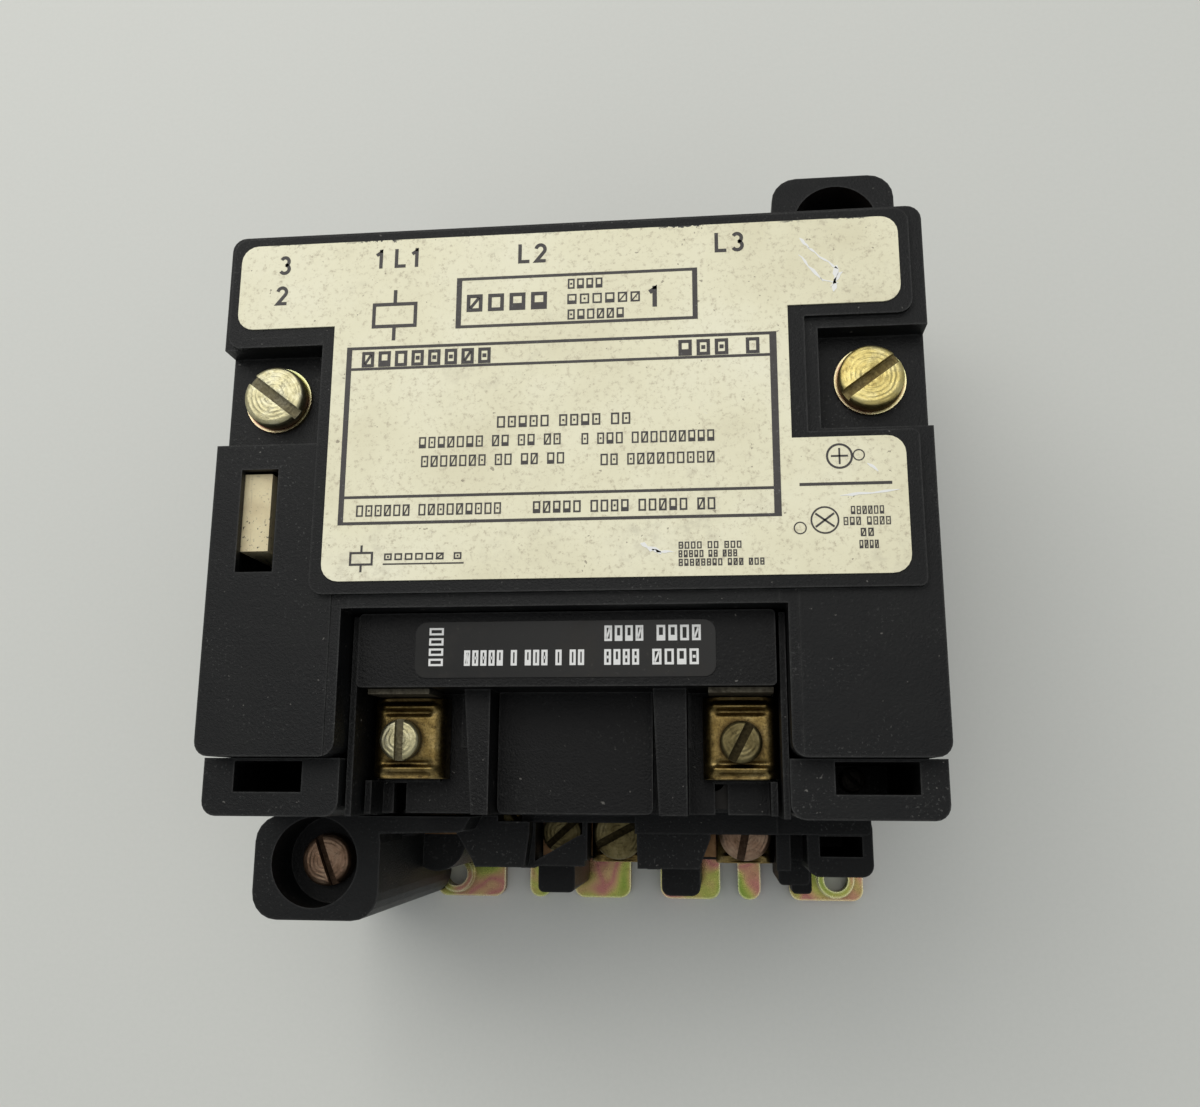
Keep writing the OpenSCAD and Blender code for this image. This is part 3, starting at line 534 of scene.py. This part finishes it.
# node: head radius, head height, slot width, slot depth, shank radius, (slot direction, material) of each
SCREWS = {
    "cover_screws": (4.45, 2.3, 1.45, 1.2, 2.1, ((52, PALE_SCREW), (-54, GOLD_SCREW))),
    "mounting_screws": (4.0, 3.2, 1.2, 1.4, 2.15, ((22, ROSY_SCREW), (22, ROSY_SCREW))),
    "coil_screws": (2.9, 1.9, 1.25, 1.0, 1.4, ((0, PALE_SCREW), (-28, DIRTY_SHADED_SCREW))),
    "line_screws": (4.4, 2.6, 1.2, 1.2, 1.7, ((-75, DIRTY_SHADED_SCREW), (-55, GOLD_SCREW), (-35, DIRTY_SHADED_SCREW))),
    "load_screws": (4.1, 2.5, 1.2, 1.1, 1.7, ((-72, DIRTY_SHADED_SCREW), (-62, DIRTY_SHADED_SCREW), (-12, ROSY_SCREW))),
    "strap_screws": (3.4, 2.4, 1.1, 1.1, 1.7, ((-48, DIRTY_SHADED_SCREW), (10, DIRTY_SHADED_SCREW))),
    "aux_screws": (2.5, 1.8, 0.8, 0.8, 1.25, ((-65, DIRTY_SHADED_SCREW), (-30, DIRTY_SHADED_SCREW))),
    "housing_screws": (1.95, 1.7, 0.7, 0.8, 1.2, tuple((turn, DARK_SCREW) for turn in (-70, 20, -30, 45))),
}

for node, (head_r, head_h, slot_w, slot_d, shank_r, each) in SCREWS.items():
    solids = solids_of(node)
    depth = solids[0][1].z - solids[0][0].z
    blank = screw_mesh(head_r, head_h, slot_w, slot_d, shank_r, depth - head_h)
    for i, ((lo, hi), (turn, finish)) in enumerate(zip(solids, each)):
        mesh = blank.copy()
        mesh.materials.clear()
        mesh.materials.append(finish)
        middle = (lo + hi) / 2
        screw = add_piece(f"{node}_{i + 1}", mesh, (middle.x, middle.y, hi.z), BODY_OF[node], turn)
        soften(screw, 0.07, 2, 0.7)
        stand_in(node, i == 0)
    bpy.data.meshes.remove(blank)

# ---------------------------------------------------------------- springs

def coil_mesh(radius, wire, length, turns, steps=28, sides=10):
    """Helical spring along +Y from y = 0, whose last 0.9 turn at each end is closed up."""
    count = int(turns * steps)
    closed = 0.9 / turns
    verts, faces = [], []
    for i in range(count + 1):
        t = i / count
        a = 2 * math.pi * turns * t
        open_share = min(max((t - closed) / (1 - 2 * closed), 0), 1)
        closed_share = (min(t, closed) + max(t - (1 - closed), 0)) / closed
        y = wire + wire * closed_share + open_share * (length - 4 * wire)
        for k in range(sides):
            b = 2 * math.pi * k / sides
            r = radius + wire * math.cos(b)
            verts.append((r * math.cos(a), y + wire * math.sin(b), r * math.sin(a)))
    for i in range(count):
        for k in range(sides):
            n = (k + 1) % sides
            faces.append((i * sides + k, i * sides + n, (i + 1) * sides + n, (i + 1) * sides + k))
    faces.append(tuple(range(sides)))
    faces.append(tuple(count * sides + k for k in range(sides)))
    return mesh_from("spring", verts, faces, True)


# left free at each end of a spring
END_GAP = 0.03
# node: wire radius, turns, body it sits in, joint it shortens with, end it is held at (-1 low Y, 1 high Y)
SPRINGS = {
    "return_springs": (0.4, 6.5, "frame", "carrier_slide", -1),
    "contact_springs": (0.32, 5.5, "carrier", "bridge_slide", 1),
    "aux_spring": (0.26, 5.5, "carrier", "bridge_slide", 1),
}

for node, (wire, turns, seat_body, joint, held) in SPRINGS.items():
    for i, (lo, hi) in enumerate(solids_of(node)):
        room = hi.y - lo.y
        length = room - 2 * END_GAP
        radius = (hi.z - lo.z) / 2 - wire
        middle = (lo + hi) / 2
        mesh = coil_mesh(radius, wire, length, turns)
        mesh.materials.append(MATERIALS["bright_steel"])
        spring = add_piece(f"{node}_{i + 1}", mesh, (middle.x, lo.y + END_GAP, middle.z), seat_body)
        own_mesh(spring)
        stand_in(node, i == 0)

# ---------------------------------------------------------------- saddle clamps

def bell(value, middle, width):
    return math.exp(-((value - middle) / width) ** 2)


def fade_out(value, end, width):
    """1 well below end, 0 well above it."""
    return 1 / (1 + math.exp((value - end) / width))


def clamp_mesh(width, depth, height, t, rib, rib_half, rib_y):
    """Sheet clamp: two ridges pressed up between hollows in its top, left and right sides curled down."""
    bend = min(1.9, width * 0.2)
    flat = width / 2 - bend
    drop = height - rib
    path = [(flat * i / 18, 0.0, 0.0) for i in range(-18, 19)]
    curl = []
    for i in range(1, 9):
        a = math.radians(90 * i / 8)
        curl.append((flat + bend * math.sin(a), -bend * (1 - math.cos(a)), a))
    tail = max(0.1, drop - bend)
    curl.append((flat + bend, -bend - tail * 0.5, math.pi / 2))
    curl.append((flat + bend, -bend - tail, math.pi / 2))
    path = [(-x, z, -a) for x, z, a in reversed(curl)] + path + curl
    rows = 53
    hollow = 0.0664 * depth
    spread = 0.0354 * depth
    verts, faces = [], []
    for layer in (0, 1):
        for x, z, a in path:
            for j in range(rows):
                y = depth * (j / (rows - 1) - 0.5)
                ridge = bell(abs(y), rib_y, spread * 1.15) * fade_out(abs(x), rib_half, 0.2)
                dip = bell(abs(y), rib_y + hollow, spread) + bell(abs(y), rib_y - hollow, spread)
                dip *= fade_out(abs(x), rib_half - 0.7, 0.22)
                lip = 0.25 * bell(abs(y), depth / 2, 0.3)
                lift = rib * (ridge - 0.8 * dip - lip)
                if layer:
                    verts.append((x - t * math.sin(a), y, z + lift - t * math.cos(a)))
                else:
                    verts.append((x, y, z + lift))
    count = len(path)
    step = count * rows
    for i in range(count - 1):
        for j in range(rows - 1):
            a, b, c, d = i * rows + j, i * rows + j + 1, (i + 1) * rows + j + 1, (i + 1) * rows + j
            faces += [(a, b, c, d), (a + step, d + step, c + step, b + step)]
    for i in range(count - 1):
        for j in (0, rows - 1):
            faces.append((i * rows + j, (i + 1) * rows + j, (i + 1) * rows + j + step, i * rows + j + step))
    for j in range(rows - 1):
        for i in (0, count - 1):
            faces.append((i * rows + j, i * rows + j + 1, i * rows + j + 1 + step, i * rows + j + step))
    return mesh_from("clamp", verts, faces, True)


# node: sheet thickness, ridge height, ridge half length, ridge distance from the middle
CLAMPS = {
    "coil_clamps": (1.0, 0.6, 4.0, 4.3),
    "line_clamps": (1.1, 0.5, 4.6, 4.05),
    "load_clamps": (1.0, 0.45, 3.2, 3.4),
    "aux_clamps": (0.8, 0.25, 2.6, 1.9),
}

for node, (t, rib, rib_half, rib_y) in CLAMPS.items():
    for i, (lo, hi) in enumerate(solids_of(node)):
        size = hi - lo
        middle = (lo + hi) / 2
        mesh = clamp_mesh(size.x, size.y, size.z, t, rib, rib_half, rib_y)
        mesh.materials.append(MATERIALS["brass_clamp"])
        clamp = add_piece(f"{node}_{i + 1}", mesh, (middle.x, middle.y, hi.z - rib), BODY_OF[node])
        soften(clamp, 0.2, 3, 0.9)
        stand_in(node, i == 0)

# ---------------------------------------------------------------- printed matter

def arc(x, y, rx, ry, start, end, steps=12):
    """Points of an elliptic arc between two angles in degrees."""
    turns = [math.radians(start + (end - start) * k / steps) for k in range(steps + 1)]
    return [(x + rx * math.cos(a), y + ry * math.sin(a)) for a in turns]


# width and strokes of each figure, for a height of 1 about y = 0
FIGURES = {
    " ": (0.1, []),
    "1": (0.42, [[(0.08, 0.20), (0.31, 0.36), (0.31, -0.5)], [(0.31, 0.34), (0.31, 0.5)]]),
    "2": (0.6, [arc(0.3, 0.19, 0.22, 0.23, 170, -35) + [(0.1, -0.42), (0.56, -0.42)]]),
    "3": (0.6, [arc(0.28, 0.2, 0.2, 0.22, 150, -80), arc(0.28, -0.19, 0.23, 0.23, 80, -150)]),
    "L": (0.56, [[(0.09, 0.5), (0.09, -0.42), (0.56, -0.42)]]),
}


SUNK = 0.02
WORD_GAP = 0.7


class Print:
    """Flat marks a few hundredths of a millimetre thick, gathered into one mesh."""

    def __init__(self, z, thick=0.035):
        self.verts, self.faces, self.z, self.thick = [], [], z, thick

    def patch(self, points):
        """A convex outline, counter-clockwise, as a thin prism."""
        base, n = len(self.verts), len(points)
        self.verts += [(x, y, self.z - SUNK) for x, y in points]
        self.verts += [(x, y, self.z + self.thick) for x, y in points]
        self.faces.append(tuple(base + n + k for k in range(n)))
        self.faces.append(tuple(base + k for k in reversed(range(n))))
        for k in range(n):
            m = (k + 1) % n
            self.faces.append((base + k, base + m, base + n + m, base + n + k))

    def bar(self, x0, x1, y0, y1):
        self.patch([(x0, y0), (x1, y0), (x1, y1), (x0, y1)])

    def stroke(self, a, b, width):
        d = Vector((b[0] - a[0], b[1] - a[1]))
        n = Vector((-d.y, d.x)).normalized() * width / 2
        self.patch([(a[0] - n.x, a[1] - n.y), (b[0] - n.x, b[1] - n.y),
                    (b[0] + n.x, b[1] + n.y), (a[0] + n.x, a[1] + n.y)])

    def frame(self, x0, x1, y0, y1, w, w_left=None, w_right=None):
        left, right = w_left or w, w_right or w
        self.bar(x0, x1, y1 - w, y1)
        self.bar(x0, x1, y0, y0 + w)
        self.bar(x0, x0 + left, y0 + w, y1 - w)
        self.bar(x1 - right, x1, y0 + w, y1 - w)

    def ring(self, x, y, r, w, steps=32):
        for k in range(steps):
            a, b = 2 * math.pi * k / steps, 2 * math.pi * (k + 1) / steps
            self.patch([(x + (r - w) * math.cos(a), y + (r - w) * math.sin(a)),
                        (x + r * math.cos(a), y + r * math.sin(a)),
                        (x + r * math.cos(b), y + r * math.sin(b)),
                        (x + (r - w) * math.cos(b), y + (r - w) * math.sin(b))])

    def words(self, x0, x1, y, height, groups, weight):
        """Stand-in for a line of text: neutral boxes grouped as words, with no letter among them."""
        cell = (x1 - x0) / (sum(groups) + WORD_GAP * (len(groups) - 1))
        w = height * weight
        x = x0
        for count in groups:
            for _ in range(count):
                lo, hi = x + cell * 0.1, x + cell * 0.84
                low, top = y - height / 2, y + height / 2
                self.frame(lo, hi, low, top, w)
                kind = rnd.randrange(4)
                if kind == 0:
                    self.bar((lo + hi) / 2 - w * 0.6, (lo + hi) / 2 + w * 0.6, y - w * 0.6, y + w * 0.6)
                elif kind == 1:
                    self.bar(lo + w, hi - w, low + w, low + w + (top - low) * 0.2)
                elif kind == 2:
                    self.stroke((lo + w, low + w), (hi - w, top - w), w * 0.8)
                x += cell
            x += WORD_GAP * cell

    def ribbon(self, points, widths):
        """A flat band along a line of points, one width for each, mitred at its corners."""
        points = [Vector(p) for p in points]
        n = len(points)
        sides = []
        for k, p in enumerate(points):
            before = (p - points[k - 1]).normalized() if k else (points[1] - p).normalized()
            after = (points[k + 1] - p).normalized() if k < n - 1 else before
            along = (before + after).normalized()
            across = Vector((-along.y, along.x))
            reach = widths[k] / 2 / max(0.35, across.dot(Vector((-before.y, before.x))))
            sides.append((p - across * reach, p + across * reach))
        base = len(self.verts)
        for z in (self.z - SUNK, self.z + self.thick):
            self.verts += [(p.x, p.y, z) for pair in sides for p in pair]
        top = 2 * n
        for k in range(n - 1):
            a, b = base + 2 * k, base + 2 * k + 1
            c, d = a + 2, b + 2
            self.faces += [(a + top, c + top, d + top, b + top), (a, b, d, c),
                           (a, c, c + top, a + top), (b, b + top, d + top, d)]
        first, last = base, base + 2 * (n - 1)
        self.faces += [(first, first + top, first + 1 + top, first + 1),
                       (last, last + 1, last + 1 + top, last + top)]

    def numerals(self, text, x, y, height, weight=0.17):
        """Plain terminal numbers drawn as strokes; x is the left edge and y the middle of the line."""
        for mark in text:
            width, lines = FIGURES[mark]
            for line in lines:
                self.ribbon([(x + px * height, y + py * height) for px, py in line],
                            [weight * height] * len(line))
            x += (width + 0.24) * height

    def place(self, name, material):
        mesh = bpy.data.meshes.new(name)
        mesh.from_pydata([[c * MM for c in v] for v in self.verts], [], self.faces)
        mesh.materials.append(material)
        add_piece(name, mesh, (0, 0, 0), "frame")


rnd = random.Random(7)
face_z = label_top.z
rules = Print(face_z)
rules.frame(-30.8, 29.1, -4.35, 21.45, 0.42, 0.75, 0.95)
rules.bar(-30.05, 28.15, 17.95, 18.33)
rules.bar(-30.05, 28.15, -0.66, -0.28)
rules.frame(-15.3, 18.55, 23.7, 31.3, 0.42, 0.75, 0.7)
rules.bar(31.5, 43.4, -0.35, 0.05)
rules.bar(-24.2, -13.1, -9.95, -9.75)
rules.place("nameplate_rules", INK)

# left end, right end, middle, height, boxes in each word, stroke weight
WORDS = [
    (-28.8, -9.8, 19.55, 2.3, (8,), 0.2),
    (15.6, 27.2, 19.55, 2.3, (3, 1), 0.2),
    (-9.2, 9.5, 9.75, 1.65, (5, 4, 2), 0.14),
    (-20.0, 0.0, 7.1, 1.6, (7, 2, 2, 2), 0.13),
    (2.5, 20.7, 7.0, 1.6, (1, 3, 9), 0.13),
    (-19.6, 0.5, 4.4, 1.6, (7, 2, 2, 2), 0.13),
    (5.1, 20.7, 4.0, 1.6, (2, 9), 0.13),
    (-28.4, -8.0, -2.4, 1.6, (6, 9), 0.13),
    (-4.0, 20.7, -2.4, 1.65, (5, 4, 5, 2), 0.14),
    (-14.1, -1.9, 27.4, 2.6, (4,), 0.2),
    (0.4, 5.6, 29.7, 1.5, (4,), 0.15),
    (0.3, 10.9, 27.4, 1.5, (6,), 0.15),
    (0.4, 8.6, 25.1, 1.5, (6,), 0.15),
    (15.5, 23.9, -8.0, 0.95, (4, 2, 3), 0.17),
    (15.5, 23.3, -9.15, 0.95, (5, 2, 3), 0.17),
    (15.5, 26.8, -10.3, 0.95, (8, 3, 3), 0.17),
    (-24.2, -13.2, -8.85, 0.95, (6, 1), 0.22),
    (37.9, 42.3, -3.75, 1.1, (6,), 0.13),
    (36.9, 43.1, -5.2, 1.1, (3, 4), 0.13),
    (39.0, 40.9, -6.7, 1.1, (2,), 0.16),
    (38.8, 41.4, -8.3, 1.1, (4,), 0.13),
]
words = Print(face_z)
for line in WORDS:
    words.words(*line)
words.place("nameplate_lines", INK)

numerals = Print(face_z)
numerals.numerals("3", -41.6, 34.5, 2.9)
numerals.numerals("2", -41.8, 29.8, 2.9)
numerals.numerals("1 L1", -27.4, 34.8, 2.9)
numerals.numerals("L2", -6.6, 34.6, 2.9)
numerals.numerals("L3", 21.0, 34.9, 2.9)
numerals.numerals("1", 11.7, 27.3, 3.1, 0.2)
numerals.place("nameplate_numerals", INK)

# generic circuit symbols where small marks sit
marks = Print(face_z)
marks.frame(-27.4, -20.9, 24.2, 28.0, 0.5)
marks.bar(-24.4, -23.9, 28.0, 29.9)
marks.bar(-24.4, -23.9, 22.3, 24.2)
marks.frame(-28.9, -25.6, -10.0, -8.1, 0.3)
marks.bar(-27.4, -27.1, -8.1, -7.2)
marks.bar(-27.4, -27.1, -10.9, -10.0)
marks.ring(36.8, 3.6, 1.75, 0.28)
marks.bar(35.7, 37.9, 3.5, 3.75)
marks.bar(36.68, 36.92, 2.5, 4.7)
marks.ring(34.6, -5.0, 1.85, 0.22)
marks.stroke((33.4, -5.9), (35.8, -4.1), 0.26)
marks.stroke((33.4, -4.1), (35.8, -5.9), 0.26)
marks.ring(39.3, 3.7, 0.8, 0.16, 20)
marks.ring(31.4, -6.0, 0.85, 0.16, 20)
marks.place("nameplate_symbols", INK)

# scratches that bare the film, most of them near the upper right corner
scratches = Print(face_z, 0.045)


def ragged(a, b, width, pieces, spread):
    """A scratch between two points that wanders and changes width."""
    a, b = Vector(a), Vector(b)
    points = [a.lerp(b, k / pieces) + Vector((rnd.uniform(-1, 1), rnd.uniform(-1, 1))) * spread
              for k in range(pieces + 1)]
    widths = [width * rnd.uniform(0.4, 1.5) for _ in points]
    widths[0] = widths[-1] = width * 0.2
    scratches.ribbon(points, widths)


# one end, other end, width, pieces, how far they stray
SCRATCHES = [
    ((32.6, 35.0), (34.0, 33.4), 0.3, 4, 0.08),
    ((33.6, 33.6), (37.6, 30.2), 0.26, 7, 0.1),
    ((32.4, 32.6), (35.6, 28.4), 0.36, 7, 0.1),
    ((37.6, 30.6), (36.9, 26.8), 0.55, 7, 0.12),
    ((35.2, 28.9), (37.6, 28.0), 0.3, 5, 0.12),
    ((38.2, 29.8), (36.6, 27.6), 0.3, 5, 0.12),
    ((10.6, -7.6), (13.4, -9.0), 0.5, 6, 0.2),
    ((12.0, -8.6), (15.0, -8.9), 0.3, 5, 0.15),
    ((40.4, 2.6), (41.6, 1.4), 0.4, 4, 0.12),
    ((36.6, -1.7), (44.2, -1.2), 0.3, 9, 0.1),
]
for scratch in SCRATCHES:
    ragged(*scratch)
scratches.place("nameplate_scratches", CHALK)

# coil film print
film = Print(top_corner("coil_label").z, 0.025)
for line in [(-13.9, 2.8, -22.05, 2.1, (5, 1, 3, 1, 2), 0.15), (5.2, 10.8, -18.85, 2.1, (4,), 0.15),
             (12.2, 18.5, -18.85, 2.1, (4,), 0.15), (5.2, 10.2, -22.05, 2.1, (4,), 0.15),
             (11.6, 18.2, -22.05, 2.1, (4,), 0.15)]:
    film.words(*line)
for k in range(4):
    y = -18.4 - 1.4 * k
    film.frame(-18.7, -16.7, y - 0.5, y + 0.5, 0.28)
film.place("coil_film_print", INK_WHITE)

# ---------------------------------------------------------------- CAD nodes that stay as they are

# edge rounding in mm
EDGE = {"front_cover": 0.35, "base_housing": 0.35, "contact_housing": 0.3, "coil": 0.25, "nameplate": 0.03,
        "coil_label": 0.03, "mounting_plate": 0.5, "contact_carrier": 0.2}
OTHER_EDGE = 0.15
for name, node in NODES.items():
    flats = node.modifiers.new("flats", "DECIMATE")
    flats.decimate_type = "DISSOLVE"
    flats.angle_limit = 0.02
    width = EDGE.get(name, OTHER_EDGE)
    soften(node, width, 3 if width > 0.3 else 2)
    node.modifiers["edges"].use_clamp_overlap = name != "mounting_plate"
    node.data.materials.clear()
    node.data.materials.append(MATERIALS[SLOT_OF[name]])

# ---------------------------------------------------------------- floor, light, camera

FLOOR_SIZE = 6
bpy.ops.mesh.primitive_plane_add(size=FLOOR_SIZE)
floor = bpy.context.object
floor.name = "floor"
paper = Look("floor")
paper.set(Base_Color=paper.mix(paper.noise(0.9, 4, 0.6), (0.655, 0.665, 0.625), (0.70, 0.705, 0.665)),
          Roughness=0.6, Normal=paper.bump(paper.noise(0.7, 3, 0.6), 0.02, 0.4))
floor.data.materials.append(paper.mat)

world = bpy.data.worlds.new("studio")
bpy.context.scene.world = world
world.use_nodes = True
sky = world.node_tree.nodes["Background"].inputs
sky["Color"].default_value = (0.95, 0.98, 1, 1)
sky["Strength"].default_value = 0.45


def area_light(name, place, target, size, energy, color):
    data = bpy.data.lights.new(name, "AREA")
    data.energy = energy
    data.shape = "RECTANGLE"
    data.size, data.size_y = size
    data.color = color
    light = bpy.data.objects.new(name, data)
    STAGE.objects.link(light)
    light.location = place
    light.rotation_euler = (Vector(target) - Vector(place)).to_track_quat("-Z", "Y").to_euler()


area_light("window", place=(-0.42, 0.62, 0.85), target=(-0.03, 0.06, 0), size=(1.0, 0.8),
           energy=5.1, color=(1, 0.985, 0.95))
area_light("ceiling", place=(0.1, 0.35, 1.3), target=(0, 0, 0), size=(0.8, 0.8),
           energy=3.1, color=(1, 0.97, 0.93))

EYE = Vector((0.0205, -0.03915, 0.21822))
LOOK_ALONG = Vector((-0.1052, 0.2082, -0.9724))
UP_HINT = Vector((-0.0044, 1, 0))
view = bpy.data.cameras.new("camera")
view.sensor_width = 36
view.lens = 33
view.clip_start = 0.01
camera = bpy.data.objects.new("camera", view)
STAGE.objects.link(camera)
ahead = LOOK_ALONG.normalized()
right = ahead.cross(UP_HINT).normalized()
turned = Matrix((right, right.cross(ahead), -ahead)).transposed()
camera.matrix_world = Matrix.Translation(EYE) @ turned.to_4x4()
bpy.context.scene.camera = camera
bpy.context.scene.view_settings.view_transform = "Standard"
